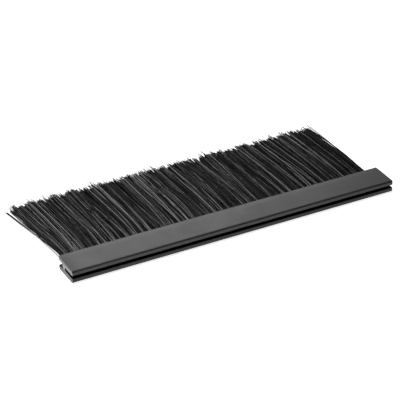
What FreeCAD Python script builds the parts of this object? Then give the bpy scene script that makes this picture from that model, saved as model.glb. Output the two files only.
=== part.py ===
"""Brush cable grommet: an H-section edge profile with a strip brush in its back pocket.

All sizes are in millimetres. The origin is at the middle of the panel slot's floor, where the edge
of the panel stops. +X runs along the profile, +Y from the slot towards the bristles, and the X-Y
plane is the middle of the slot, so +Z is up when the grommet lies flat.
"""
import FreeCAD
import Part
import Sketcher
import math
import os
from FreeCAD import Vector

# Driving sizes. Each one is written here once and goes into the sheet of the document.
SIZES = {
    # Edge profile, an extruded H-section that is cut to length
    "profile_length": 200.0,
    "profile_height": 8.1,
    "nose_height": 7.1,
    "flat_band": 3.6,
    "slot_height": 1.5,
    "slot_depth": 9.45,
    "web_thickness": 3.3,
    "pocket_height": 3.1,
    "pocket_depth": 4.5,
    "nose_radius": 1.0,
    "slot_lip_radius": 0.55,
    "heel_radius": 0.3,
    "pocket_lip_radius": 0.25,
    # Strip brush, a folded steel channel that grips the filaments round a core wire
    "brush_inset": 4.5,
    "fit_clearance": 0.1,
    "channel_wall": 0.35,
    "channel_depth": 4.0,
    "channel_mouth": 1.8,
    "wire_diameter": 0.8,
    "pack_clearance": 0.05,
    # Filament pack, tufts that leave the root fold in two layers of locks and sag to the tips
    "free_length": 68.0,
    "tuft_pitch": 4.42,
    "tuft_waist": 3.1,
    "lock_slit": 0.08,
    "layer_gap": 0.34,
    "tip_spread": 2.6,
    "tip_thickness": 0.4,
    "tip_lift": 0.3,
    "root_overlap": 1.0,
    "droop": 2.7,
    "tip_jag": 1.5,
    "jag_length": 2.2,
    "trim_slope": 0.012,
    "left_splay": 3.7,
    "right_splay": 2.3,
    "splay_reach": 9.0,
    "sway": 1.1,
    "sway_length": 23.0,
    # Single filaments that stand out past the tips of the locks
    "stray_diameter": 0.26,
    "stray_spacing": 13.0,
    "stray_reach": 3.2,
    "end_stray_splay": 3.8,
}

# Locks of a tuft in the upper and in the lower layer
LOCKS_IN_A_TUFT = (3, 2)
# Sections of a lock: the share of its length, and how much of its width it fills there
LOCK_SHARES = (0.0, 0.3, 0.6, 0.88, 1.0)
LOCK_FILL = (1.0, 0.97, 0.92, 0.72, 0.24)
# Share of the length at which neighbouring tufts have opened out and meet
MEETING_SHARE = 0.3

doc = FreeCAD.newDocument("BrushGrommet")


def make_sheet():
    """The sheet of driving sizes, one named cell for each."""
    sheet = doc.addObject("Spreadsheet::Sheet", "Sizes")
    for row, (alias, value) in enumerate(SIZES.items(), start=1):
        sheet.set("A%d" % row, alias)
        sheet.set("B%d" % row, str(value))
        sheet.setAlias("B%d" % row, alias)
    doc.recompute()
    return sheet


def plane_of(body, role):
    """One of the origin planes of a body."""
    return next(item for item in body.Origin.OriginFeatures if item.Role == role)


def section_sketch(body, name):
    """A sketch across the profile: its axes are the Y and Z of the part."""
    sketch = body.newObject("Sketcher::SketchObject", name)
    sketch.AttachmentSupport = [(plane_of(body, "YZ_Plane"), "")]
    sketch.MapMode = "FlatFace"
    return sketch


def dimension(sketch, name, expression, kind, *where):
    """A driving dimension that reads the sheet."""
    index = sketch.addConstraint(Sketcher.Constraint(kind, *where))
    sketch.renameConstraint(index, name)
    sketch.setExpression("Constraints." + name, expression)


def extrude_both_ways(body, sketch, name, length):
    """A pad of the section to both sides of the middle of the part."""
    pad = body.newObject("PartDesign::Pad", name)
    pad.Profile = sketch
    pad.SideType = "Symmetric"
    pad.setExpression("Length", length)
    sketch.Visibility = False
    doc.recompute()
    return pad


def round_long_edges(body, base, name, corners, radius):
    """A fillet on the edges along X that pass through the given corners of the section."""
    names = []
    for number, edge in enumerate(base.Shape.Edges, start=1):
        first, last = edge.Vertexes[0].Point, edge.Vertexes[-1].Point
        along_x = abs(first.y - last.y) + abs(first.z - last.z) < 1e-6
        if along_x and any(math.hypot(first.y - y, first.z - z) < 1e-4 for y, z in corners):
            names.append("Edge%d" % number)
    fillet = body.newObject("PartDesign::Fillet", name)
    fillet.Base = (base, names)
    fillet.setExpression("Radius", radius)
    doc.recompute()
    return fillet


def mirrored(y, z):
    """A corner of the section and its twin below the middle plane."""
    return [(y, z), (y, -z)]


def make_edge_profile(s):
    """The H-section: a slot for the panel in front, a web, and a pocket for the brush behind."""
    body = doc.addObject("PartDesign::Body", "EdgeProfile")
    body.Label = "edge_profile"
    sketch = section_sketch(body, "ProfileSection")
    front = -s.slot_depth
    back = s.web_thickness + s.pocket_depth
    shoulder = back - s.flat_band
    upper = [
        (front, s.nose_height / 2),
        (shoulder, s.profile_height / 2),
        (back, s.profile_height / 2),
        (back, s.pocket_height / 2),
        (s.web_thickness, s.pocket_height / 2),
    ]
    slot = [(0.0, s.slot_height / 2), (front, s.slot_height / 2)]
    lower = [(y, -z) for y, z in reversed(upper)]
    corners = upper + lower + [(y, -z) for y, z in reversed(slot)] + slot
    for index, corner in enumerate(corners):
        following = corners[(index + 1) % len(corners)]
        sketch.addGeometry(Part.LineSegment(Vector(*corner, 0), Vector(*following, 0)))
    count = len(corners)
    for index in range(count):
        sketch.addConstraint(Sketcher.Constraint("Coincident", index, 2, (index + 1) % count, 1))
    twins = [(0, 9), (1, 8), (2, 7), (3, 6), (4, 5), (12, 11), (13, 10)]
    for above, below in twins:
        sketch.addConstraint(Sketcher.Constraint("Symmetric", above, 1, below, 1, -1))
    for level in (1, 3, 12):
        sketch.addConstraint(Sketcher.Constraint("Horizontal", level))
    for upright in (2, 13):
        sketch.addConstraint(Sketcher.Constraint("Vertical", upright))
    sketch.addConstraint(Sketcher.Constraint("PointOnObject", 12, 1, -2))
    dimension(sketch, "SlotDepth", "Sizes.slot_depth", "DistanceX", 13, 1, 12, 1, s.slot_depth)
    dimension(sketch, "SlotHeight", "Sizes.slot_height", "DistanceY", 11, 1, 12, 1, s.slot_height)
    dimension(sketch, "NoseHeight", "Sizes.nose_height", "DistanceY", 9, 1, 0, 1, s.nose_height)
    dimension(sketch, "BackHeight", "Sizes.profile_height", "DistanceY", 7, 1, 2, 1, s.profile_height)
    dimension(sketch, "FlatBand", "Sizes.flat_band", "DistanceX", 1, 1, 2, 1, s.flat_band)
    dimension(sketch, "Web", "Sizes.web_thickness", "DistanceX", 12, 1, 4, 1, s.web_thickness)
    dimension(sketch, "PocketDepth", "Sizes.pocket_depth", "DistanceX", 4, 1, 3, 1, s.pocket_depth)
    dimension(sketch, "PocketHeight", "Sizes.pocket_height", "DistanceY", 5, 1, 4, 1, s.pocket_height)
    bar = extrude_both_ways(body, sketch, "ProfileBar", "Sizes.profile_length")
    noses = mirrored(front, s.nose_height / 2)
    slot_lips = mirrored(front, s.slot_height / 2)
    heels = mirrored(back, s.profile_height / 2)
    pocket_lips = mirrored(back, s.pocket_height / 2)
    bar = round_long_edges(body, bar, "Noses", noses, "Sizes.nose_radius")
    bar = round_long_edges(body, bar, "SlotLips", slot_lips, "Sizes.slot_lip_radius")
    bar = round_long_edges(body, bar, "Heels", heels, "Sizes.heel_radius")
    round_long_edges(body, bar, "PocketLips", pocket_lips, "Sizes.pocket_lip_radius")
    return body


class ChannelSection:
    """Sizes of the folded channel that its own sketch and the filament pack share."""

    def __init__(self, s):
        self.outer_radius = s.pocket_height / 2 - s.fit_clearance
        self.inner_radius = self.outer_radius - s.channel_wall
        self.centre = s.web_thickness + s.fit_clearance + self.outer_radius
        self.mouth = s.web_thickness + s.fit_clearance + s.channel_depth
        self.half_mouth = s.channel_mouth / 2
        self.length = s.profile_length - 2 * s.brush_inset


def touch_angle(radius, reach, rise):
    """Angle on a circle of the point whose tangent passes through a point ahead of the centre."""
    return math.atan2(rise, reach) + math.acos(radius / math.hypot(reach, rise))


def on_circle(centre, radius, angle):
    return Vector(centre + radius * math.cos(angle), radius * math.sin(angle), 0)


def channel_outline(channel, wall):
    """First guess of the channel's outline, which the sketch's constraints then hold."""
    reach = channel.mouth - channel.centre
    angle = touch_angle(channel.inner_radius, reach, channel.half_mouth)
    outer_rise = channel.half_mouth + wall / math.sin(angle)
    inner_up = on_circle(channel.centre, channel.inner_radius, angle)
    outer_up = on_circle(channel.centre, channel.outer_radius, angle)
    inner_down = Vector(inner_up.x, -inner_up.y, 0)
    outer_down = Vector(outer_up.x, -outer_up.y, 0)
    inner_tip = Vector(channel.mouth, channel.half_mouth, 0)
    outer_tip = Vector(channel.mouth, outer_rise, 0)
    inner_tip_down = Vector(channel.mouth, -channel.half_mouth, 0)
    outer_tip_down = Vector(channel.mouth, -outer_rise, 0)
    centre = Vector(channel.centre, 0, 0)
    normal = Vector(0, 0, 1)
    inner_circle = Part.Circle(centre, normal, channel.inner_radius)
    outer_circle = Part.Circle(centre, normal, channel.outer_radius)
    return [
        Part.ArcOfCircle(inner_circle, angle, 2 * math.pi - angle),
        Part.LineSegment(inner_up, inner_tip),
        Part.LineSegment(inner_tip, outer_tip),
        Part.LineSegment(outer_tip, outer_up),
        Part.ArcOfCircle(outer_circle, angle, 2 * math.pi - angle),
        Part.LineSegment(outer_down, outer_tip_down),
        Part.LineSegment(outer_tip_down, inner_tip_down),
        Part.LineSegment(inner_tip_down, inner_down),
    ]


def make_brush_channel(s):
    """Steel strip folded round the filaments, its legs crimped together towards the mouth."""
    body = doc.addObject("PartDesign::Body", "BrushChannel")
    body.Label = "brush_channel"
    sketch = section_sketch(body, "ChannelSection")
    channel = ChannelSection(s)
    for piece in channel_outline(channel, s.channel_wall):
        sketch.addGeometry(piece)
    inner, upper_in, upper_end, upper_out, outer, lower_out, lower_end, lower_in = range(8)
    joins = [
        ("Tangent", inner, 1, upper_in, 1),
        ("Tangent", inner, 2, lower_in, 2),
        ("Tangent", outer, 1, upper_out, 2),
        ("Tangent", outer, 2, lower_out, 1),
        ("Coincident", upper_in, 2, upper_end, 1),
        ("Coincident", upper_end, 2, upper_out, 1),
        ("Coincident", lower_out, 2, lower_end, 1),
        ("Coincident", lower_end, 2, lower_in, 1),
        ("Coincident", inner, 3, outer, 3),
        ("PointOnObject", inner, 3, -1),
        ("Symmetric", upper_end, 1, lower_end, 2, -1),
        ("Symmetric", upper_end, 2, lower_end, 1, -1),
        ("Vertical", upper_end),
        ("Parallel", upper_in, upper_out),
    ]
    for join in joins:
        sketch.addConstraint(Sketcher.Constraint(*join))
    outer_radius = "(Sizes.pocket_height / 2 - Sizes.fit_clearance)"
    inner_radius = "%s - Sizes.channel_wall" % outer_radius
    seat = "Sizes.web_thickness + Sizes.fit_clearance"
    centre = "%s + %s" % (seat, outer_radius)
    mouth = "%s + Sizes.channel_depth" % seat
    dimension(sketch, "InnerRadius", inner_radius, "Radius", inner, channel.inner_radius)
    dimension(sketch, "OuterRadius", outer_radius, "Radius", outer, channel.outer_radius)
    dimension(sketch, "FoldCentre", centre, "DistanceX", -1, 1, inner, 3, channel.centre)
    dimension(sketch, "MouthPlane", mouth, "DistanceX", -1, 1, upper_end, 1, channel.mouth)
    dimension(sketch, "MouthGap", "Sizes.channel_mouth", "DistanceY", lower_end, 2, upper_end, 1,
              s.channel_mouth)
    extrude_both_ways(body, sketch, "ChannelStrip", "Sizes.profile_length - 2 * Sizes.brush_inset")
    return body


def make_core_wire(s):
    """Round wire that the filaments are folded over, in the bottom of the channel."""
    wire = doc.addObject("Part::Cylinder", "CoreWire")
    wire.Label = "core_wire"
    wire.Placement = FreeCAD.Placement(Vector(), FreeCAD.Rotation(Vector(0, 1, 0), 90))
    wire.setExpression("Radius", "Sizes.wire_diameter / 2")
    wire.setExpression("Height", "Sizes.profile_length - 2 * Sizes.brush_inset")
    wire.setExpression("Placement.Base.x", "Sizes.brush_inset - Sizes.profile_length / 2")
    wire.setExpression("Placement.Base.y", "Sizes.web_thickness + Sizes.pocket_height / 2")
    return wire


def root_fold(s, channel):
    """The filaments' bend round the wire and their legs as far as the channel's mouth."""
    radius = channel.inner_radius - s.pack_clearance
    rise = channel.half_mouth - s.pack_clearance
    angle = touch_angle(radius, channel.mouth - channel.centre, rise)
    touch = on_circle(channel.centre, radius, angle)

    def at(y, z):
        return Vector(-channel.length / 2, y, z)

    bend = Part.Arc(at(touch.x, touch.y), at(channel.centre - radius, 0), at(touch.x, -touch.y))
    edges = [
        bend.toShape(),
        Part.makeLine(at(touch.x, -touch.y), at(channel.mouth, -rise)),
        Part.makeLine(at(channel.mouth, -rise), at(channel.mouth, rise)),
        Part.makeLine(at(channel.mouth, rise), at(touch.x, touch.y)),
    ]
    along = Vector(channel.length, 0, 0)
    block = Part.Face(Part.Wire(edges)).extrude(along)
    bore_radius = s.wire_diameter / 2 + s.pack_clearance
    bore = Part.makeCylinder(bore_radius, channel.length, at(channel.centre, 0), Vector(1, 0, 0))
    return block.cut(bore)


def prism_chain(sections):
    """A solid through level rectangles, each given as y, lowest x and z, highest x and z."""
    rings = [
        [Vector(x0, y, z0), Vector(x1, y, z0), Vector(x1, y, z1), Vector(x0, y, z1)]
        for y, x0, z0, x1, z1 in sections
    ]
    faces = [rings[0], rings[-1]]
    for near, far in zip(rings, rings[1:]):
        for side in range(4):
            following = (side + 1) % 4
            faces.append([near[side], near[following], far[following], far[side]])
    shells = [Part.Face(Part.makePolygon(ring + ring[:1])) for ring in faces]
    solid = Part.Solid(Part.Shell(shells))
    if solid.Volume < 0:
        solid.reverse()
    return solid


def ripple(x, length, phase):
    """A wave along the brush that doesn't repeat: three sines of unlike lengths, from -1 to 1."""
    turn = 2 * math.pi / length
    return (math.sin(turn * x + phase) + math.sin(1.618 * turn * x + 2.4 * phase)
            + math.sin(2.732 * turn * x + 4.1 * phase)) / 3


class FilamentPack:
    """Where the filaments run: in tufts that open out, fanned at the ends of the row and swaying."""

    def __init__(self, s, channel):
        self.s = s
        self.half = channel.length / 2
        self.tufts = round(channel.length / s.tuft_pitch)
        self.pitch = channel.length / self.tufts
        self.root = channel.mouth - s.root_overlap
        self.back = s.web_thickness + s.pocket_depth
        self.root_rise = channel.half_mouth - s.pack_clearance

    def drift(self, x, layer):
        """How far a tip lies to the side of its root."""
        s = self.s
        span = self.back + s.free_length - self.root
        left = math.tan(math.radians(s.left_splay)) * math.exp(-(self.half + x) / s.splay_reach)
        right = math.tan(math.radians(s.right_splay)) * math.exp(-(self.half - x) / s.splay_reach)
        return span * (right - left) + s.sway * ripple(x, s.sway_length, 0.7 + 2.9 * layer)

    def place(self, x, share, layer):
        """Where the filament from root x is after a share of its length: it bends outwards."""
        return x + self.drift(x, layer) * share ** 1.25

    def sag(self, share):
        """How far a filament hangs down under its own weight after a share of its length."""
        return self.s.droop * share ** 2 * (6 - 4 * share + share ** 2) / 3

    def tip(self, x, layer):
        """Depth of the tip of a lock: trimmed on a slight slope, with uneven lengths."""
        s = self.s
        broad = ripple(x, 3.2 * s.jag_length, 1.0 + layer)
        fine = ripple(x, s.jag_length, layer)
        return self.back + s.free_length + s.trim_slope * x + s.tip_jag * (0.55 * broad + 0.45 * fine)

    def lock(self, x, width, tuft_middle, layer):
        """One lock of the upper layer, 0, or the lower layer, 1. The tufts show in the upper one only."""
        s = self.s
        tip = self.tip(x, layer)
        lift = ripple(x, 2 * s.jag_length, 3.0 + layer)
        waist = 1.0 if layer else s.tuft_waist / self.pitch
        ridge = 1.0 - 0.25 * abs(x - tuft_middle) / width
        sections = []
        for share, fill in zip(LOCK_SHARES, LOCK_FILL):
            opened = waist + (1 - waist) * min(1.0, share / MEETING_SHARE)
            left = self.place(tuft_middle + opened * (x - width / 2 - tuft_middle), share, layer)
            right = self.place(tuft_middle + opened * (x + width / 2 - tuft_middle), share, layer)
            half_width = fill * (right - left - s.lock_slit) / 2
            middle = (left + right) / 2
            inside = s.layer_gap / 2
            outside = self.root_rise - s.pack_clearance
            outside += share * (ridge * s.tip_spread / 2 - outside)
            at_tip = share ** 4
            centre = (inside + outside) / 2 + s.tip_lift * at_tip * lift
            half_thick = (outside - inside) / 2 * (1 - at_tip) + s.tip_thickness / 2 * at_tip
            low, high = centre - half_thick, centre + half_thick
            if layer:
                low, high = -high, -low
            y = self.root + share * (tip - self.root)
            drop = self.sag(share)
            sections.append((y, middle - half_width, low - drop, middle + half_width, high - drop))
        return prism_chain(sections)

    def stray(self, x, extra, slope):
        """One filament between the two layers that ends past the tips of the locks."""
        s = self.s
        half = s.stray_diameter / 2
        tip = self.back + s.free_length + extra
        sections = []
        for share, size in ((0.0, 1.0), (0.4, 1.0), (0.7, 1.0), (1.0, 0.7)):
            middle = self.place(x, share, 0) + slope * share ** 1.25 * (tip - self.root)
            y = self.root + share * (tip - self.root)
            drop = self.sag(share)
            sections.append((y, middle - size * half, -size * half - drop,
                             middle + size * half, size * half - drop))
        return prism_chain(sections)


def make_bristles(s):
    """Black filaments: the fold round the wire, two layers of locks and the strays between."""
    channel = ChannelSection(s)
    pack = FilamentPack(s, channel)
    upper_width, lower_width = (pack.pitch / locks for locks in LOCKS_IN_A_TUFT)
    locks = []
    for tuft in range(pack.tufts):
        tuft_left = tuft * pack.pitch - pack.half
        for number in range(LOCKS_IN_A_TUFT[0]):
            x = tuft_left + (number + 0.5) * upper_width
            locks.append(pack.lock(x, upper_width, tuft_left + pack.pitch / 2, 0))
    for number in range(LOCKS_IN_A_TUFT[1] * pack.tufts - 1):
        x = (number + 1) * lower_width - pack.half
        locks.append(pack.lock(x, lower_width, x, 1))
    edge = pack.half - s.stray_diameter
    stray_count = round(2 * edge / s.stray_spacing)
    for number in range(stray_count + 1):
        x = -edge + number * 2 * edge / stray_count
        extra = s.tip_jag + s.stray_reach * (1 + ripple(x, 2.7 * s.stray_spacing, 0.4))
        at_left_end = number == 0
        slope = -math.tan(math.radians(s.end_stray_splay)) if at_left_end else 0.0
        locks.append(pack.stray(x, 0.0 if at_left_end else extra, slope))
    bristles = doc.addObject("Part::Feature", "Bristles")
    bristles.Label = "bristles"
    bristles.Shape = root_fold(s, channel).multiFuse(locks).Solids[0]
    return bristles


def export(parts):
    """Check every object and write one file for each sub-part."""
    doc.recompute()
    for item in doc.Objects:
        if {"Invalid", "Error"} & set(item.State):
            raise RuntimeError("%s is in state %s" % (item.Label, item.State))
    for part in parts:
        if part.Shape.isNull() or not part.Shape.isValid() or len(part.Shape.Solids) != 1:
            raise RuntimeError("%s has no sound shape" % part.Label)
    os.makedirs("parts", exist_ok=True)
    for part in parts:
        part.Shape.exportStep("parts/%s.step" % part.Label)
        box = part.Shape.BoundBox
        print("%s: %.1f mm3, x %.2f to %.2f, y %.2f to %.2f, z %.2f to %.2f" % (
            part.Label, part.Shape.Volume, box.XMin, box.XMax, box.YMin, box.YMax, box.ZMin, box.ZMax))


sizes = make_sheet()
export([
    make_edge_profile(sizes),
    make_brush_channel(sizes),
    make_core_wire(sizes),
    make_bristles(sizes),
])
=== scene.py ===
import functools
import itertools
import math

import bpy
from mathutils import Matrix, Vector


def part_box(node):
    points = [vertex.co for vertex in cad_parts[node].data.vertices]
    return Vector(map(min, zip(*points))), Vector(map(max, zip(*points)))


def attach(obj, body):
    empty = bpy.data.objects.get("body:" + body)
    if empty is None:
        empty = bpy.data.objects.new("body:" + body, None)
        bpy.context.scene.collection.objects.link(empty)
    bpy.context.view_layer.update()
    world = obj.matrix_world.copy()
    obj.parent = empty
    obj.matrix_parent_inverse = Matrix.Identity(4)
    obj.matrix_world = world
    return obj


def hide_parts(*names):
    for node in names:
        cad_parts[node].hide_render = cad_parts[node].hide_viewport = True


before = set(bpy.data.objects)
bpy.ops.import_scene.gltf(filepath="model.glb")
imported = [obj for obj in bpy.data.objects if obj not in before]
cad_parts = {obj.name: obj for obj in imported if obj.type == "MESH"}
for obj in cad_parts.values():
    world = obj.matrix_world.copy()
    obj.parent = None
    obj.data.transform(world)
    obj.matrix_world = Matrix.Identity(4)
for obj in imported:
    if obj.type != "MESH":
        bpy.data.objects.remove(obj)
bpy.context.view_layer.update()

# The scene is in metres. A size in millimetres is written as a number times MM.
MM = 0.001
PROFILE_LOW, PROFILE_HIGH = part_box("edge_profile")
CHANNEL_LOW, CHANNEL_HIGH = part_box("brush_channel")
WIRE_LOW, WIRE_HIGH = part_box("core_wire")
PACK_LOW, PACK_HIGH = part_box("bristles")

# The brush: filaments in tufts, folded over the core wire, between places that the frame gives
FILAMENT_DIAMETER = 0.27 * MM
FILAMENTS_IN_A_TUFT = 46
TUFTS_IN_A_PIECE = (11, 11, 11, 10)
TUFTS = sum(TUFTS_IN_A_PIECE)
FILAMENTS_IN_A_CORE = 30
TUFTS_IN_A_CORE_PIECE = (22, 21)
TIP_LINE = PROFILE_HIGH.y + 68.6 * MM
WIRE_RADIUS = (WIRE_HIGH.z - WIRE_LOW.z) / 2
FOLD_CENTRE = (WIRE_LOW.y + WIRE_HIGH.y) / 2
FOLD_OUTER = FOLD_CENTRE - PACK_LOW.y

# Where the photograph was taken from, worked out from the corners of the profile, angles in degrees
CAMERA_TARGET = Vector((-0.9, 35.25, -4.05)) * MM
CAMERA_AZIMUTH = -28.43
CAMERA_ELEVATION = 30.36
CAMERA_DISTANCE = 841 * MM
CAMERA_LENS = 133.2
CAMERA_SENSOR = 36.0


# Helpers

# Kinds of node that come often
MATH = "ShaderNodeMath"
RANGE = "ShaderNodeMapRange"
MIX = "ShaderNodeMix"
NOISE = "ShaderNodeTexNoise"
RANDOM = "FunctionNodeRandomValue"


def linear(code):
    """The linear colour, with alpha, of an sRGB hex code."""
    channels = [int(code[start:start + 2], 16) / 255 for start in (1, 3, 5)]
    shades = [c / 12.92 if c <= 0.04045 else ((c + 0.055) / 1.055) ** 2.4 for c in channels]
    return (*shades, 1.0)


def add(tree, kind, *values, out=None, **settings):
    """Adds a node with its settings and gives back one of its outputs.

    The values fill or link its inputs in order, None leaves one as it is, and a dictionary at the
    end fills inputs by name."""
    node = tree.nodes.new(kind)
    for name, value in settings.items():
        setattr(node, name, value)
    live = [socket for socket in node.inputs if socket.enabled]
    named = values[-1] if values and isinstance(values[-1], dict) else {}
    ordered = values[:-1] if named else values
    pairs = list(zip(live, ordered)) + [(node.inputs[name], value) for name, value in named.items()]
    for socket, value in pairs:
        if isinstance(value, bpy.types.NodeSocket):
            tree.links.new(value, socket)
        elif value is not None:
            socket.default_value = value
    if out:
        return node.outputs[out]
    return next((socket for socket in node.outputs if socket.enabled), None)


def start_material(name):
    """A material with an empty tree, and the add-node function bound to that tree."""
    material = bpy.data.materials.new(name)
    material.use_nodes = True
    material.node_tree.nodes.clear()
    return material, functools.partial(add, material.node_tree)


# Materials

PLASTIC_IOR = 1.53
# Most values of a noise lie between these.
NOISE_LOW, NOISE_HIGH = 0.3, 0.7


def extruded_pvc():
    """Rigid black PVC, extruded and sawn to length.

    The die leaves it satin, with faint lines along its length, so it mirrors the bright surround
    softly. Handling has rubbed some of the gloss off next to the left end. The sawn ends are matt
    and paler from the cut, with a scratched grain, and painted light makes them paler still:
    palest over the slot, with painted shade a step darker on the lower flange and darker again
    along the rim of the upper flange. The walls of the slot and the pocket, with a band round them
    on the sawn ends, are painted dark as shade and have hardly a sheen, so both read as deep black
    lines. The nose has painted light above the slot and painted shade below it and towards the
    right end. A dark line under its upper edge is painted shade too."""
    material, put = start_material("black_pvc_extruded_and_sawn")
    place = put("ShaderNodeTexCoord", out="Object")
    along_row = put("ShaderNodeSeparateXYZ", place, out="X")
    backwards = along_row.node.outputs["Y"]
    upwards = along_row.node.outputs["Z"]

    # Die lines along the row, clouds and grains in the skin, and the slanted scratches of the saw
    die_line, die_run = 0.5 * MM, 45 * MM
    cloud, grain = 11 * MM, 0.16 * MM
    saw_line, saw_run, saw_slant = 0.28 * MM, 5 * MM, 0.45
    along = put("ShaderNodeMapping", place, None, None, (1 / die_run, 1 / die_line, 1 / die_line))
    lines = put(NOISE, along, {"Scale": 1.0, "Detail": 3.0})
    clouds = put(NOISE, place, {"Scale": 1 / cloud, "Detail": 4.0})
    grains = put(NOISE, place, {"Scale": 1 / grain, "Detail": 2.0})
    slanted = put("ShaderNodeMapping", place, None, (saw_slant, 0, 0), (1.0, 1 / saw_run, 1 / saw_line))
    scratches = put(NOISE, slanted, {"Scale": 1.0, "Detail": 4.0, "Roughness": 0.7})

    # Sawn ends: painted shade below the slot, painted light above it, painted shade on the upper rim
    saw_depth, rim_dark = 0.03 * MM, 0.85
    over_slot_low, over_slot_high = -1.2 * MM, -0.4 * MM
    rim_low, rim_high = 1.8 * MM, 4.0 * MM
    from_middle = put(MATH, along_row, operation="ABSOLUTE")
    sawn = put(MATH, from_middle, PROFILE_HIGH.x - saw_depth, operation="GREATER_THAN")
    shaded_lower_cut = put(MIX, scratches, linear("#858586"), linear("#b0b0b1"), data_type="RGBA")
    lit_upper_cut = put(MIX, scratches, linear("#c0c0c1"), linear("#ededee"), data_type="RGBA")
    painted_slot_light = put(RANGE, upwards, over_slot_low, over_slot_high, 0.0, 1.0)
    painted_rim_shade = put(RANGE, upwards, rim_low, rim_high, 0.0, rim_dark)
    cut = put(MIX, painted_slot_light, shaded_lower_cut, lit_upper_cut, data_type="RGBA")
    cut = put(MIX, painted_rim_shade, cut, linear("#464647"), data_type="RGBA")

    # Painted shade in the slot and the pocket and in a band round each on the sawn ends, not the web
    # between
    web_middle, web_half = 1.6 * MM, 1.5 * MM
    slot_back, pocket_front = 2.9 * MM, 3.3 * MM
    slot_half, pocket_half = 0.95 * MM, 1.75 * MM
    half_opening = put(RANGE, backwards, slot_back, pocket_front, slot_half, pocket_half)
    in_web = put(MATH, backwards, web_middle, web_half, operation="COMPARE")
    painted_inside_shade = put(MATH, put(MATH, upwards, operation="ABSOLUTE"), half_opening, operation="LESS_THAN")
    painted_inside_shade = put(MATH, painted_inside_shade, in_web, operation="SUBTRACT", use_clamp=True)

    # The nose: painted light and shade from light, 0, to dark, 1, and a painted shade line under its
    # top edge
    nose_back, lips_half = -8.9 * MM, 0.5 * MM
    lower_dark, right_dark = 0.68, 0.6
    dark_from, dark_to = 20 * MM, 95 * MM
    mark_level, mark_half = 3.1 * MM, 0.25 * MM
    on_nose = put(MATH, backwards, nose_back, operation="LESS_THAN")
    painted_shade_below = put(RANGE, upwards, -lips_half, lips_half, lower_dark, 0.0)
    painted_shade_to_right = put(RANGE, along_row, dark_from, dark_to, 0.0, right_dark)
    painted_nose_shade = put(MATH, painted_shade_below, painted_shade_to_right, operation="ADD")
    nose_with_painted_light = put(MIX, painted_nose_shade, linear("#505051"), linear("#1a1a1b"), data_type="RGBA")
    under_edge = put(MATH, upwards, mark_level, mark_half, operation="COMPARE")
    painted_dark_line = put(MATH, under_edge, on_nose, operation="MULTIPLY")

    skin = put(MIX, clouds, linear("#3a3a3b"), linear("#424243"), data_type="RGBA")
    # Painted light and shade on the nose, then the painted shade line under its upper edge
    skin = put(MIX, on_nose, skin, nose_with_painted_light, data_type="RGBA")
    skin = put(MIX, painted_dark_line, skin, linear("#1c1c1d"), data_type="RGBA")
    # The sawn ends, paler from the cut and paler still from painted light
    colour = put(MIX, sawn, skin, cut, data_type="RGBA")
    # Painted shade inside the slot and the pocket, and in a band round them on the sawn ends
    colour = put(MIX, painted_inside_shade, colour, linear("#0e0e0f"), data_type="RGBA")

    # Roughness, relief and gloss
    skin_smooth, skin_rough, cut_rough = 0.38, 0.46, 0.62
    grain_share, relief = 0.6, 0.03 * MM
    rubbed_from, rubbed_to = -99.5 * MM, -94 * MM
    rubbed_gloss, full_gloss, shaded_inside_gloss = 0.36, 0.5, 0.08
    skin_roughness = put(RANGE, clouds, NOISE_LOW, NOISE_HIGH, skin_smooth, skin_rough)
    roughness = put(MIX, sawn, skin_roughness, cut_rough, data_type="FLOAT")
    skin_height = put(MATH, lines, grain_share, grains, operation="MULTIPLY_ADD")
    height = put(MIX, sawn, skin_height, scratches, data_type="FLOAT")
    bump = put("ShaderNodeBump", {"Strength": 0.25, "Distance": relief, "Height": height})
    skin_gloss = put(RANGE, along_row, rubbed_from, rubbed_to, rubbed_gloss, full_gloss)
    # The painted shade inside the slot and the pocket also takes away most of their gloss
    gloss = put(MIX, painted_inside_shade, skin_gloss, shaded_inside_gloss, data_type="FLOAT")
    shader = put("ShaderNodeBsdfPrincipled", {
        "Base Color": colour, "Roughness": roughness, "IOR": PLASTIC_IOR, "Specular IOR Level": gloss,
        "Normal": bump})
    put("ShaderNodeOutputMaterial", shader)
    return material


def drawn_nylon():
    """Black nylon filament, drawn smooth.

    The value that the filament tree stores on each point is painted light and shade, after how
    openly the point lies. Filaments on top of the pack show their glossy side as thin light lines,
    and a few are painted paler still as painted highlights. Deep in the pack, where thousands more
    would keep the light out, painted shade makes them black with hardly a sheen."""
    material, put = start_material("black_nylon_drawn_filament")
    patch = 3 * MM
    brightest_painted_light, glossiest_painted_light = 6.0, 1.0
    deep_gloss, open_gloss = 0.04, 0.97
    smoothest, roughest = 0.26, 0.36
    tone = put("ShaderNodeAttribute", attribute_name="tone", out="Fac")
    place = put("ShaderNodeTexCoord", out="Object")
    patches = put(NOISE, place, {"Scale": 1 / patch, "Detail": 3.0})
    # Painted highlights: the higher the value, the paler the filament
    painted_highlight = put(RANGE, tone, 0.0, brightest_painted_light, 0.0, 1.0)
    colour = put(MIX, painted_highlight, linear("#040404"), linear("#9a9a9b"), data_type="RGBA")
    roughness = put(RANGE, patches, NOISE_LOW, NOISE_HIGH, smoothest, roughest)
    # Painted shade: low values take away the gloss
    gloss = put(RANGE, tone, 0.0, glossiest_painted_light, deep_gloss, open_gloss)
    shader = put("ShaderNodeBsdfPrincipled", {
        "Base Color": colour, "Roughness": roughness, "IOR": PLASTIC_IOR, "Specular IOR Level": gloss})
    put("ShaderNodeOutputMaterial", shader)
    return material


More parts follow.
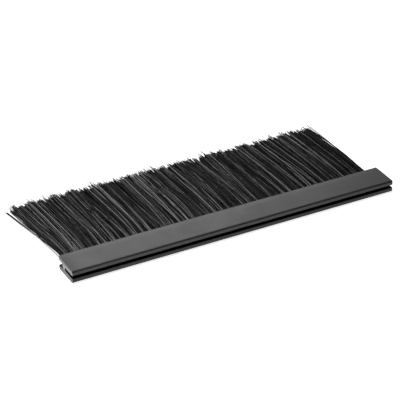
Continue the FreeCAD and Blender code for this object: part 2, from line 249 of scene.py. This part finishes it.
def galvanised_strip():
    """Hot-dip galvanised steel strip, roll formed: pale grey with a faint spangle."""
    material, put = start_material("steel_strip_galvanised")
    spangle = 1.2 * MM
    bright_flake, dull_flake = 0.32, 0.5
    place = put("ShaderNodeTexCoord", out="Object")
    flakes = put("ShaderNodeTexVoronoi", place, {"Scale": 1 / spangle}, out="Color")
    shade = put("ShaderNodeSeparateXYZ", flakes, out="X")
    colour = put(MIX, shade, linear("#9a9da0"), linear("#c2c5c8"), data_type="RGBA")
    roughness = put(RANGE, shade, 0.0, 1.0, bright_flake, dull_flake)
    shader = put("ShaderNodeBsdfPrincipled", {
        "Base Color": colour, "Metallic": 1.0, "Roughness": roughness})
    put("ShaderNodeOutputMaterial", shader)
    return material


def drawn_wire():
    """Bright drawn steel wire: die lines along it give narrow bright streaks."""
    material, put = start_material("steel_wire_drawn")
    die_line, die_run, relief = 0.08 * MM, 12 * MM, 0.01 * MM
    place = put("ShaderNodeTexCoord", out="Object")
    along = put("ShaderNodeMapping", place, None, None, (1 / die_run, 1 / die_line, 1 / die_line))
    lines = put(NOISE, along, {"Scale": 1.0, "Detail": 3.0})
    colour = put(MIX, lines, linear("#8f9194"), linear("#b9bbbe"), data_type="RGBA")
    bump = put("ShaderNodeBump", {"Strength": 0.3, "Distance": relief, "Height": lines})
    shader = put("ShaderNodeBsdfPrincipled", {
        "Base Color": colour, "Metallic": 1.0, "Roughness": 0.3, "Normal": bump})
    put("ShaderNodeOutputMaterial", shader)
    return material


# Filaments

FILAMENT_INPUTS = {
    "Tufts": "NodeSocketInt",
    "First Tuft": "NodeSocketInt",
    "Filaments in a Tuft": "NodeSocketInt",
    "Row Start": "NodeSocketFloat",
    "Row Length": "NodeSocketFloat",
    "Tuft Pitch": "NodeSocketFloat",
    "Tuft Width": "NodeSocketFloat",
    "Tip Width": "NodeSocketFloat",
    "Fold Centre": "NodeSocketFloat",
    "Fold Inner Radius": "NodeSocketFloat",
    "Fold Outer Radius": "NodeSocketFloat",
    "Mouth Height": "NodeSocketFloat",
    "Tip Height": "NodeSocketFloat",
    "Droop": "NodeSocketFloat",
    "Floor Level": "NodeSocketFloat",
    "Tip Line": "NodeSocketFloat",
    "Trim Slope": "NodeSocketFloat",
    "Longest Tip": "NodeSocketFloat",
    "Diameter": "NodeSocketFloat",
    "Locks in a Tuft": "NodeSocketFloat",
    "Lock Pull": "NodeSocketFloat",
    "Loose Share": "NodeSocketFloat",
    "Common Bow": "NodeSocketFloat",
    "Channel End": "NodeSocketFloat",
    "Lean": "NodeSocketFloat",
    "Tuft Lean": "NodeSocketFloat",
    "Lock Lean": "NodeSocketFloat",
    "Own Lean": "NodeSocketFloat",
    "Lower Freedom": "NodeSocketFloat",
    "Bend": "NodeSocketFloat",
    "Jag": "NodeSocketFloat",
    "Shine": "NodeSocketFloat",
    "Material": "NodeSocketMaterial",
}
# Sideways slope of the tufts along the row, from the left end, 0, to the right end, 1. The tufts at
# the left end have no neighbour to lean on and fan out. No slope goes beyond the range.
SPLAY = [
    (0.0, -0.09), (0.03, -0.037), (0.07, -0.012), (0.15, -0.006),
    (0.88, -0.005), (0.95, -0.01), (1.0, -0.005)]
SPLAY_RANGE = 0.1
# Points along a filament. The fold's share of them lies round the wire, and a spacing above 1 sets
# the rest closer together near the wire.
STATIONS = 23
FOLD_SHARE = 0.2
LEG_SPACING = 1.5
# The section is a triangle. Its corners stand this far out, in diameters of the filament.
SECTION_SIDES = 3
SECTION_RADIUS = 0.58
# A leg reaches from the wire, 0, to its tip, 1. Here it has left the fold, and its tuft is open.
LEFT_FOLD = 0.06
FULLY_OPEN = 0.6
# Each leg, layer and lock has a number of its own, for its random values.
LEG_STEP = 4.0
LOCK_STEP = 8.0
# A random value to one of these powers is small for most filaments and large for some or for few.
SOME = 3.0
FEW = 7.0
# Depth of the tips, in jags: from tuft to tuft, in the lower layer, and at the edge of a lock
TUFT_JAG = 0.3
LOWER_JAG = -0.8
LOCK_EDGE_JAG = -1.6
# Locks: how far they shift in their tuft, and how much their filaments gather in the mouth
LOCK_SHIFT = 0.4
MOUTH_PULL = 0.6
LOWER_PULL_POWER = 3.0
# Leans grow a little faster than the reach, and a filament in a lock keeps part of its own lean.
LEAN_POWER = 1.15
HELD_LEAN = 0.22
# Bows and swings of a leg beside those of its lock
OWN_BOW = 0.4
LOCK_SWING = 0.5
OWN_SWING = 0.2
# Heights, as shares of the full height: how flat a tuft's sides are, and how high legs can lie
SIDE_FLATNESS = -0.6
LOWEST_LOCK, HIGHEST_LOCK = 0.35, 1.0
LOWEST_LOOSE, HIGHEST_LOOSE = 0.2, 1.1
# Painted light and shade: the first tuft's open side in shares of the row, painted glints, light on the
# row
SIDE_START, SIDE_END, SIDE_OPENNESS = 0.012, 0.03, 0.72
MOUTH_GLINT, TIP_GLINT, PLAIN_GLINT = 11.0, 24.0, 0.12
OPEN_POWER, DEEP_PAINTED_SHADE = 3.2, 0.005
LEFT_LIGHT, LIGHT_LOSS, LOSS_POWER = 0.86, -0.62, 4.0


def splay_curve(tree, share):
    """The splay as a curve node over the row."""
    slope = add(tree, "ShaderNodeFloatCurve", None, share)
    curve = slope.node.mapping.curves[0]
    for number, (at, value) in enumerate(SPLAY):
        height = 0.5 + value / SPLAY_RANGE / 2
        if number < 2:
            curve.points[number].location = (at, height)
        else:
            curve.points.new(at, height)
    slope.node.mapping.update()
    return add(tree, RANGE, slope, 0.0, 1.0, -SPLAY_RANGE, SPLAY_RANGE)


def filament_tree():
    """Tufts of filaments.

    Each filament starts at a tip, runs in, turns round the wire and runs out again. Its two legs
    lie in the upper and the lower layer of the brush."""
    tree = bpy.data.node_groups.new("filaments_folded_over_a_wire", "GeometryNodeTree")
    tree.interface.new_socket(name="Geometry", in_out="OUTPUT", socket_type="NodeSocketGeometry")
    for name, kind in FILAMENT_INPUTS.items():
        tree.interface.new_socket(name=name, in_out="INPUT", socket_type=kind)
    put = functools.partial(add, tree)
    given = tree.nodes.new("NodeGroupInput").outputs
    in_a_tuft = given["Filaments in a Tuft"]
    # Each random draw has the next seed, and stays the same for each value of its number.
    seeds = itertools.count(1)

    def arch(share):
        """Rises from 0 at a share of 0 to 1 at a half, and falls back to 0 at 1."""
        falling = put(MATH, 1.0, share, operation="SUBTRACT")
        return put(MATH, put(MATH, falling, share, operation="MULTIPLY"), 4.0, operation="MULTIPLY")

    # One straight thread, copied once for each filament
    thread = put("GeometryNodeCurvePrimitiveLine", (0, 0, 0), (0, 1, 0))
    thread = put("GeometryNodeResampleCurve", thread, None, STATIONS)
    count = put(MATH, given["Tufts"], in_a_tuft, operation="MULTIPLY")
    threads = put("GeometryNodeDuplicateElements", thread, None, count, domain="SPLINE")
    number = threads.node.outputs["Duplicate Index"]

    # The tuft that a filament is in, counted along the whole row, and the middle of its root
    tuft_here = put(MATH, put(MATH, number, in_a_tuft, operation="DIVIDE"), operation="FLOOR")
    in_tuft = put(MATH, number, put(MATH, tuft_here, in_a_tuft, operation="MULTIPLY"),
                  operation="SUBTRACT")
    tuft = put(MATH, tuft_here, given["First Tuft"], operation="ADD")
    before = put(MATH, given["First Tuft"], in_a_tuft, operation="MULTIPLY")
    filament = put(MATH, number, before, operation="ADD")
    middle = put(MATH, put(MATH, tuft, 0.5, operation="ADD"), given["Tuft Pitch"], given["Row Start"],
                 operation="MULTIPLY_ADD")
    from_start = put(MATH, middle, given["Row Start"], operation="SUBTRACT")
    row_share = put(MATH, from_start, given["Row Length"], operation="DIVIDE")

    # Which leg a point is on, -1 or 1, its turn round the wire, and its reach from there to the tip
    share = put("GeometryNodeSplineParameter", out="Factor")
    signed = put(MATH, share, 2.0, -1.0, operation="MULTIPLY_ADD")
    side = put(MATH, signed, operation="SIGN")
    upper = put(MATH, side, 0.0, operation="GREATER_THAN")
    out_from_fold = put(MATH, signed, operation="ABSOLUTE")
    turn = put(RANGE, out_from_fold, 0.0, FOLD_SHARE, 0.0, math.pi / 2)
    along_leg = put(RANGE, out_from_fold, FOLD_SHARE, 1.0, 0.0, 1.0)
    reach = put(MATH, along_leg, LEG_SPACING, operation="POWER")
    leaving = put(RANGE, reach, 0.0, LEFT_FOLD, 0.0, 1.0, interpolation_type="SMOOTHSTEP")
    leg = put(MATH, filament, LEG_STEP, side, operation="MULTIPLY_ADD")
    layer = put(MATH, tuft, LEG_STEP, side, operation="MULTIPLY_ADD")

    # Place of the leg in its tuft, from -1 to 1 across and from 0 to 1 outwards, and its lock
    in_layer = put(MATH, in_tuft, put(RANDOM, 0.0, 1.0, leg, next(seeds)), operation="ADD")
    across = put(MATH, put(MATH, in_layer, in_a_tuft, operation="DIVIDE"), 2.0, -1.0,
                 operation="MULTIPLY_ADD")
    rank = put(RANDOM, 0.0, 1.0, leg, next(seeds))
    loose = put(MATH, put(RANDOM, 0.0, 1.0, leg, next(seeds)), given["Loose Share"],
                operation="LESS_THAN")
    held = put(MATH, 1.0, loose, operation="SUBTRACT")
    half_locks = put(MATH, given["Locks in a Tuft"], 0.5, operation="MULTIPLY")
    lock_shift = put(RANDOM, -LOCK_SHIFT, LOCK_SHIFT, layer, next(seeds))
    in_locks = put(MATH, put(MATH, across, 1.0, operation="ADD"), half_locks, lock_shift,
                   operation="MULTIPLY_ADD")
    lock_number = put(MATH, in_locks, operation="FLOOR")
    lock = put(MATH, layer, LOCK_STEP, lock_number, operation="MULTIPLY_ADD")
    within = put(MATH, put(MATH, in_locks, operation="FRACT"), 0.5, operation="SUBTRACT")
    off_middle = put(MATH, put(MATH, within, within, operation="MULTIPLY"), 4.0, operation="MULTIPLY")

    # Depth of the tip: the middle of a lock is longest, and so are a few single filaments
    own_length = put(MATH, put(RANDOM, -1.0, 1.0, leg, next(seeds)), FEW, operation="POWER")
    jag = put(MATH, put(RANDOM, -1.0, 1.0, lock, next(seeds)), own_length, operation="ADD")
    jag = put(MATH, put(RANDOM, -1.0, 1.0, layer, next(seeds)), TUFT_JAG, jag,
              operation="MULTIPLY_ADD")
    jag = put(MATH, put(MATH, 1.0, upper, operation="SUBTRACT"), LOWER_JAG, jag,
              operation="MULTIPLY_ADD")
    jag = put(MATH, put(MATH, off_middle, held, operation="MULTIPLY"), LOCK_EDGE_JAG, jag,
              operation="MULTIPLY_ADD")
    trim = put(MATH, middle, given["Trim Slope"], given["Tip Line"], operation="MULTIPLY_ADD")
    tip = put(MATH, jag, given["Jag"], trim, operation="MULTIPLY_ADD")
    tip = put(MATH, tip, given["Longest Tip"], operation="MINIMUM")
    span = put(MATH, tip, given["Fold Centre"], operation="SUBTRACT")

    # Sideways: the tuft opens out past the mouth, and its legs gather in locks
    opening = put(RANGE, reach, 0.0, FULLY_OPEN, 0.0, 1.0, interpolation_type="SMOOTHSTEP")
    mouth_width = put(MIX, upper, given["Tuft Pitch"], given["Tuft Width"], data_type="FLOAT")
    width = put(MIX, opening, mouth_width, given["Tip Width"], data_type="FLOAT")
    upper_pull = put(MATH, reach, 1 - MOUTH_PULL, MOUTH_PULL, operation="MULTIPLY_ADD")
    lower_pull = put(MATH, reach, LOWER_PULL_POWER, operation="POWER")
    held_pull = put(MATH, given["Lock Pull"], held, operation="MULTIPLY")
    pull = put(MATH, held_pull, put(MIX, upper, lower_pull, upper_pull, data_type="FLOAT"),
               operation="MULTIPLY")
    to_lock = put(MATH, put(MATH, within, -1.0, operation="MULTIPLY"), half_locks, operation="DIVIDE")
    gathered = put(MATH, to_lock, pull, across, operation="MULTIPLY_ADD")
    half_width = put(MATH, width, 0.5, operation="MULTIPLY")
    x = put(MATH, gathered, half_width, middle, operation="MULTIPLY_ADD")

    # Tufts, locks and legs lean, more freely in the upper layer, and the whole row splays
    lean = put(MATH, put(RANDOM, -1.0, 1.0, layer, next(seeds)), given["Tuft Lean"],
               operation="MULTIPLY")
    lock_lean = put(MATH, put(RANDOM, -1.0, 1.0, lock, next(seeds)), held, operation="MULTIPLY")
    lean = put(MATH, lock_lean, given["Lock Lean"], lean, operation="MULTIPLY_ADD")
    own_lean = put(MATH, put(RANDOM, -1.0, 1.0, leg, next(seeds)), SOME, operation="POWER")
    own_lean = put(MATH, own_lean, put(MIX, loose, HELD_LEAN, 1.0, data_type="FLOAT"),
                   operation="MULTIPLY")
    lean = put(MATH, own_lean, given["Own Lean"], lean, operation="MULTIPLY_ADD")
    freedom = put(MIX, upper, given["Lower Freedom"], 1.0, data_type="FLOAT")
    lean = put(MATH, put(MATH, lean, freedom, operation="MULTIPLY"), splay_curve(tree, row_share),
               operation="ADD")
    lean = put(MATH, lean, given["Lean"], operation="ADD")
    travel = put(MATH, span, put(MATH, reach, LEAN_POWER, operation="POWER"), operation="MULTIPLY")
    x = put(MATH, lean, travel, x, operation="MULTIPLY_ADD")

    # Locks and legs bow and swing. All tufts are set aside by the same bow in their inner half, as
    # the brush was pressed that way.
    swing = put(MATH, put(MATH, reach, 2 * math.pi, operation="MULTIPLY"), operation="SINE")
    lock_bow = put(MATH, put(RANDOM, -1.0, 1.0, lock, next(seeds)), held, operation="MULTIPLY")
    own_bow = put(MATH, put(RANDOM, -1.0, 1.0, leg, next(seeds)), OWN_BOW, operation="MULTIPLY")
    bow = put(MATH, put(MATH, lock_bow, own_bow, operation="ADD"), arch(reach), operation="MULTIPLY")
    lock_swing = put(RANDOM, -LOCK_SWING, LOCK_SWING, lock, next(seeds))
    own_swing = put(RANDOM, -OWN_SWING, OWN_SWING, leg, next(seeds))
    swing_size = put(MATH, lock_swing, held, own_swing, operation="MULTIPLY_ADD")
    bend = put(MATH, put(MATH, swing_size, swing, bow, operation="MULTIPLY_ADD"), freedom,
               operation="MULTIPLY")
    x = put(MATH, bend, given["Bend"], x, operation="MULTIPLY_ADD")
    set_aside = arch(put(MATH, reach, 0.5, operation="MINIMUM"))
    x = put(MATH, set_aside, given["Common Bow"], x, operation="MULTIPLY_ADD")

    # In the fold the filaments lie side by side, and the channel's end keeps them in
    in_fold = put(MATH, in_tuft, put(RANDOM, 0.0, 1.0, filament, next(seeds)), operation="ADD")
    fold_place = put(MATH, put(MATH, in_fold, in_a_tuft, operation="DIVIDE"), 0.5,
                     operation="SUBTRACT")
    fold_x = put(MATH, fold_place, given["Tuft Width"], middle, operation="MULTIPLY_ADD")
    fold_x = put(MATH, fold_x, given["Channel End"], operation="MAXIMUM")
    x = put(MIX, leaving, fold_x, x, data_type="FLOAT")

    # Out from the wire
    fold_gap = put(MATH, given["Fold Outer Radius"], given["Fold Inner Radius"], operation="SUBTRACT")
    radius = put(MATH, put(RANDOM, 0.0, 1.0, filament, next(seeds)), fold_gap,
                 given["Fold Inner Radius"], operation="MULTIPLY_ADD")
    behind = put(MATH, radius, put(MATH, turn, operation="COSINE"), operation="MULTIPLY")
    fold_y = put(MATH, given["Fold Centre"], behind, operation="SUBTRACT")
    y = put(MATH, span, reach, fold_y, operation="MULTIPLY_ADD")

    # Height: round the wire, then a round tuft in the mouth, then ridged locks
    fold_z = put(MATH, radius, put(MATH, turn, operation="SINE"), operation="MULTIPLY")
    roundness = put(MATH, put(MATH, across, across, operation="MULTIPLY"), SIDE_FLATNESS, 1.0,
                    operation="MULTIPLY_ADD")
    mouth_z = put(MATH, put(MATH, rank, roundness, operation="MULTIPLY"), given["Mouth Height"],
                  operation="MULTIPLY")
    ridge = put(MATH, off_middle, -1.0, 1.0, operation="MULTIPLY_ADD")
    lock_height = put(MATH, put(RANDOM, LOWEST_LOCK, HIGHEST_LOCK, lock, next(seeds)), ridge,
                      operation="MULTIPLY")
    loose_height = put(RANDOM, LOWEST_LOOSE, HIGHEST_LOOSE, leg, next(seeds))
    tip_height = put(MIX, loose, lock_height, loose_height, data_type="FLOAT")
    tip_z = put(MATH, put(MATH, rank, tip_height, operation="MULTIPLY"), given["Tip Height"],
                operation="MULTIPLY")
    leg_z = put(MIX, reach, mouth_z, tip_z, data_type="FLOAT")
    z = put(MATH, side, put(MIX, leaving, fold_z, leg_z, data_type="FLOAT"), operation="MULTIPLY")

    # Sag, as a rod bends under its own weight: a third of the squared reach, times 6 less 4 reaches
    # plus the squared reach, which comes to 1 at the tip. The floor stops it.
    squared = put(MATH, reach, reach, operation="MULTIPLY")
    bending = put(MATH, put(MATH, reach, -4.0, 6.0, operation="MULTIPLY_ADD"), squared,
                  operation="ADD")
    sag = put(MATH, bending, put(MATH, squared, 1 / 3, operation="MULTIPLY"), operation="MULTIPLY")
    downwards = put(MATH, given["Droop"], -1.0, operation="MULTIPLY")
    z = put(MATH, sag, downwards, z, operation="MULTIPLY_ADD")
    z = put(MATH, z, given["Floor Level"], operation="MAXIMUM")
    path = put("ShaderNodeCombineXYZ", x, y, z)
    threads = put("GeometryNodeSetPosition", threads, None, path)

    # Painted light and shade: high in its layer a filament lies open and is painted lighter, and a few
    #     # of the open ones get painted glints. The first tuft is open at its side too, and painted
    #     shade makes the
    #     # row darker to the right end.
    full_height = put(MIX, reach, given["Mouth Height"], given["Tip Height"], data_type="FLOAT")
    openness = put(MATH, put(MATH, leg_z, full_height, operation="DIVIDE"), upper,
                   operation="MULTIPLY")
    open_side = put(RANGE, row_share, SIDE_START, SIDE_END, SIDE_OPENNESS, 0.0)
    openness = put(MATH, openness, open_side, operation="MAXIMUM")
    shining_out = put(MATH, put(RANDOM, 0.0, 1.0, leg, next(seeds)), FEW, operation="POWER")
    glint = put(MATH, shining_out, put(MIX, reach, MOUTH_GLINT, TIP_GLINT, data_type="FLOAT"),
                PLAIN_GLINT, operation="MULTIPLY_ADD")
    tone = put(MATH, put(MATH, openness, OPEN_POWER, operation="POWER"), glint, DEEP_PAINTED_SHADE,
               operation="MULTIPLY_ADD")
    tone = put(MATH, tone, given["Shine"], operation="MULTIPLY")
    loss = put(MATH, row_share, LOSS_POWER, operation="POWER")
    row_light = put(MATH, loss, LIGHT_LOSS, LEFT_LIGHT, operation="MULTIPLY_ADD")
    tone = put(MATH, tone, row_light, operation="MULTIPLY")
    threads = put("GeometryNodeStoreNamedAttribute", threads, None, "tone", tone,
                  data_type="FLOAT", domain="POINT")

    section_radius = put(MATH, given["Diameter"], SECTION_RADIUS, operation="MULTIPLY")
    section = put("GeometryNodeCurvePrimitiveCircle", SECTION_SIDES, section_radius)
    strands = put("GeometryNodeCurveToMesh", threads, section, {"Fill Caps": True})
    strands = put("GeometryNodeSetShadeSmooth", strands)
    strands = put("GeometryNodeRealizeInstances", strands)
    strands = put("GeometryNodeSetMaterial", strands, None, given["Material"])
    put("NodeGroupOutput", strands)
    return tree


def grow_filaments(name, tree, sizes):
    """Runs the tree once with the given sizes and keeps the result as a plain mesh."""
    seedbed = bpy.data.objects.new(name + "_seedbed", bpy.data.meshes.new(name + "_seedbed"))
    bpy.context.scene.collection.objects.link(seedbed)
    modifier = seedbed.modifiers.new("Filaments", "NODES")
    modifier.node_group = tree
    for item in tree.interface.items_tree:
        if item.in_out == "INPUT":
            modifier[item.identifier] = sizes[item.name]
    grown = seedbed.evaluated_get(bpy.context.evaluated_depsgraph_get())
    mesh = bpy.data.meshes.new_from_object(grown)
    mesh.name = name
    bpy.data.objects.remove(seedbed)
    piece = bpy.data.objects.new(name, mesh)
    bpy.context.scene.collection.objects.link(piece)
    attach(piece, "root")
    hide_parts("bristles")


def grow_lengths(name, tree, sizes, counts):
    """Grows the row in numbered lengths, with as many tufts in each as the counts say."""
    for number, count in enumerate(counts):
        length = {"Tufts": count, "First Tuft": sum(counts[:number])}
        grow_filaments("%s_%d" % (name, number + 1), tree, {**sizes, **length})


def dress_bristles():
    """The brush: tufts in a few lengths side by side, with a dense core between their layers in painted
    shade.

    Single filaments lie across the locks on top, a loose fan opens at the left end, stray ones
    reach past the tip line, and three stand away from the left edge."""
    tree = filament_tree()
    row_length = CHANNEL_HIGH.x - CHANNEL_LOW.x
    tufts = {
        "Tufts": TUFTS,
        "First Tuft": 0,
        "Filaments in a Tuft": FILAMENTS_IN_A_TUFT,
        "Row Start": CHANNEL_LOW.x,
        "Row Length": row_length,
        "Tuft Pitch": row_length / TUFTS,
        "Tuft Width": 3.0 * MM,
        "Tip Width": 5.3 * MM,
        "Fold Centre": FOLD_CENTRE,
        "Fold Inner Radius": WIRE_RADIUS + FILAMENT_DIAMETER / 2,
        "Fold Outer Radius": FOLD_OUTER - FILAMENT_DIAMETER / 2,
        "Mouth Height": 0.85 * MM,
        "Tip Height": 1.9 * MM,
        "Droop": 2.7 * MM,
        "Floor Level": PROFILE_LOW.z + FILAMENT_DIAMETER,
        "Tip Line": TIP_LINE,
        "Trim Slope": 0.012,
        "Longest Tip": PACK_HIGH.y - FILAMENT_DIAMETER,
        "Diameter": FILAMENT_DIAMETER,
        "Locks in a Tuft": 4.0,
        "Lock Pull": 0.7,
        "Loose Share": 0.2,
        "Common Bow": 1.55 * MM,
        "Channel End": CHANNEL_LOW.x + FILAMENT_DIAMETER,
        "Lean": 0.0,
        "Tuft Lean": 0.022,
        "Lock Lean": 0.034,
        "Own Lean": 0.05,
        "Lower Freedom": 0.35,
        "Bend": 1.0 * MM,
        "Jag": 1.4 * MM,
        "Shine": 1.0,
        "Material": drawn_nylon(),
    }
    core = {
        "Filaments in a Tuft": FILAMENTS_IN_A_CORE,
        "Tuft Width": row_length / TUFTS,
        "Mouth Height": 0.5 * MM,
        "Tip Height": 0.8 * MM,
        "Tip Line": TIP_LINE - 4.0 * MM,
        "Loose Share": 1.0,
        "Tuft Lean": 0.008,
        "Own Lean": 0.03,
        "Lower Freedom": 1.0,
        "Bend": 0.5 * MM,
        # Painted shade keeps the core dark
        "Shine": 0.15,
    }
    stray = {
        "Filaments in a Tuft": 4,
        "Own Lean": 0.1,
        "Loose Share": 1.0,
        "Tip Line": TIP_LINE + 2.4 * MM,
        "Jag": 4.4 * MM,
        "Tip Height": 2.0 * MM,
    }
    single = {
        "Filaments in a Tuft": 6,
        "Loose Share": 1.0,
        "Jag": 2.2 * MM,
        "Mouth Height": 0.95 * MM,
        "Tip Height": 2.3 * MM,
        # Painted glints, stronger on the single filaments on top
        "Shine": 2.0,
    }
    fan = {
        "Tufts": 3,
        "Filaments in a Tuft": 30,
        "Row Start": CHANNEL_LOW.x - 1.2 * MM,
        "Tuft Width": 3.4 * MM,
        "Tip Width": 4.6 * MM,
        "Mouth Height": 0.95 * MM,
        "Tip Height": 2.3 * MM,
        "Droop": 3.3 * MM,
        "Common Bow": 0.5 * MM,
        "Tip Line": TIP_LINE - 0.6 * MM,
        "Jag": 2.0 * MM,
        # Painted glints, stronger on the fan
        "Shine": 1.9,
        "Own Lean": 0.02,
        "Lower Freedom": 1.0,
        "Loose Share": 1.0,
    }
    edge = {
        "Tufts": 1,
        "Filaments in a Tuft": 3,
        "Row Start": CHANNEL_LOW.x - 2.6 * MM,
        "Tuft Width": 0.5 * MM,
        "Tip Width": 1.0 * MM,
        "Tip Height": 0.8 * MM,
        "Droop": 3.9 * MM,
        "Tip Line": TIP_LINE - 1.2 * MM,
        "Common Bow": 0.0,
        "Lean": -0.044,
        "Own Lean": 0.012,
        "Lower Freedom": 1.0,
        "Loose Share": 1.0,
    }
    grow_lengths("bristles", tree, tufts, TUFTS_IN_A_PIECE)
    grow_lengths("bristles_core", tree, {**tufts, **core}, TUFTS_IN_A_CORE_PIECE)
    grow_filaments("bristles_stray", tree, {**tufts, **stray})
    grow_filaments("bristles_single", tree, {**tufts, **single})
    grow_filaments("bristles_fan", tree, {**tufts, **fan})
    grow_filaments("bristles_edge", tree, {**tufts, **edge})


def dress_cad_nodes():
    """The finish of the pieces whose shape is the frame's own."""
    finishes = {
        "edge_profile": extruded_pvc(),
        "brush_channel": galvanised_strip(),
        "core_wire": drawn_wire(),
    }
    for node, material in finishes.items():
        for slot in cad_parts[node].material_slots:
            slot.material = material


# Studio

def white_floor():
    """White paper under the part.

    Its own glow brings it to white for the camera, with only the part's shadow left on it. It glows
    more where the lamps no longer reach, so the paper is white to its far edge. A weaker glow makes
    it a pale surround in the gloss of the part."""
    material, put = start_material("white_paper_floor")
    glow_in_gloss, near_glow, far_glow = 0.46, 0.79, 1.0
    lamps_reach, lamps_end = 0.3, 1.0
    half_width, level = 3.0, PROFILE_LOW.z
    camera = put("ShaderNodeLightPath", out="Is Camera Ray")
    glossy = camera.node.outputs["Is Glossy Ray"]
    through = camera.node.outputs["Is Transmission Ray"]
    mirrored = put(MATH, glossy, through, operation="MAXIMUM")
    in_gloss = put(MATH, mirrored, glow_in_gloss, operation="MULTIPLY")
    place = put("ShaderNodeTexCoord", out="Object")
    away = put("ShaderNodeVectorMath", place, operation="LENGTH")
    to_camera = put(RANGE, away, lamps_reach, lamps_end, near_glow, far_glow)
    strength = put(MIX, camera, in_gloss, to_camera, data_type="FLOAT")
    paper = put("ShaderNodeBsdfDiffuse", linear("#e6e6e6"))
    glow = put("ShaderNodeEmission", linear("#ffffff"), strength)
    put("ShaderNodeOutputMaterial", put("ShaderNodeAddShader", paper, glow))
    signs = [(-1, -1), (1, -1), (1, 1), (-1, 1)]
    corners = [(right * half_width, back * half_width, level) for right, back in signs]
    mesh = bpy.data.meshes.new("floor")
    mesh.from_pydata(corners, [], [(0, 1, 2, 3)])
    mesh.materials.append(material)
    floor = bpy.data.objects.new("floor", mesh)
    bpy.context.scene.collection.objects.link(floor)


def surround():
    """White to the camera, a plain soft grey to everything else."""
    soft_grey, white = 0.06, 1.0
    world = bpy.data.worlds.new("white_studio")
    world.use_nodes = True
    world.node_tree.nodes.clear()
    put = functools.partial(add, world.node_tree)
    camera = put("ShaderNodeLightPath", out="Is Camera Ray")
    strength = put(MIX, camera, soft_grey, white, data_type="FLOAT")
    put("ShaderNodeOutputWorld", put("ShaderNodeBackground", linear("#ffffff"), strength))
    bpy.context.scene.world = world


def direction(azimuth, elevation):
    """Unit vector towards a place round the part. Azimuth 0 is in front, elevation is up."""
    a, e = math.radians(azimuth), math.radians(elevation)
    return Vector((math.sin(a) * math.cos(e), -math.cos(a) * math.cos(e), math.sin(e)))


def softbox(name, azimuth, elevation, distance, width, height, watts):
    """A soft rectangular lamp that points at the part."""
    lamp = bpy.data.lights.new(name, "AREA")
    lamp.shape = "RECTANGLE"
    lamp.size, lamp.size_y = width, height
    lamp.energy = watts
    towards = direction(azimuth, elevation)
    holder = bpy.data.objects.new(name, lamp)
    holder.location = CAMERA_TARGET + towards * distance
    holder.rotation_mode = "QUATERNION"
    holder.rotation_quaternion = towards.to_track_quat("Z", "Y")
    bpy.context.scene.collection.objects.link(holder)


def take_photograph():
    """The camera, where the photograph's was."""
    lens = bpy.data.cameras.new("camera")
    lens.lens = CAMERA_LENS
    lens.sensor_width = CAMERA_SENSOR
    lens.sensor_fit = "HORIZONTAL"
    lens.clip_start, lens.clip_end = 0.05, 20.0
    back = direction(CAMERA_AZIMUTH, CAMERA_ELEVATION)
    camera = bpy.data.objects.new("camera", lens)
    camera.location = CAMERA_TARGET + back * CAMERA_DISTANCE
    camera.rotation_mode = "QUATERNION"
    camera.rotation_quaternion = (-back).to_track_quat("-Z", "Y")
    bpy.context.scene.collection.objects.link(camera)
    bpy.context.scene.camera = camera
    bpy.context.scene.view_settings.view_transform = "Standard"


dress_cad_nodes()
dress_bristles()
white_floor()
surround()
softbox("back_softbox", azimuth=163.5, elevation=31.5, distance=1.3, width=0.85, height=0.36, watts=4.0)
softbox("left_softbox", azimuth=-100, elevation=69, distance=0.7, width=0.5, height=0.5, watts=3.6)
take_photograph()
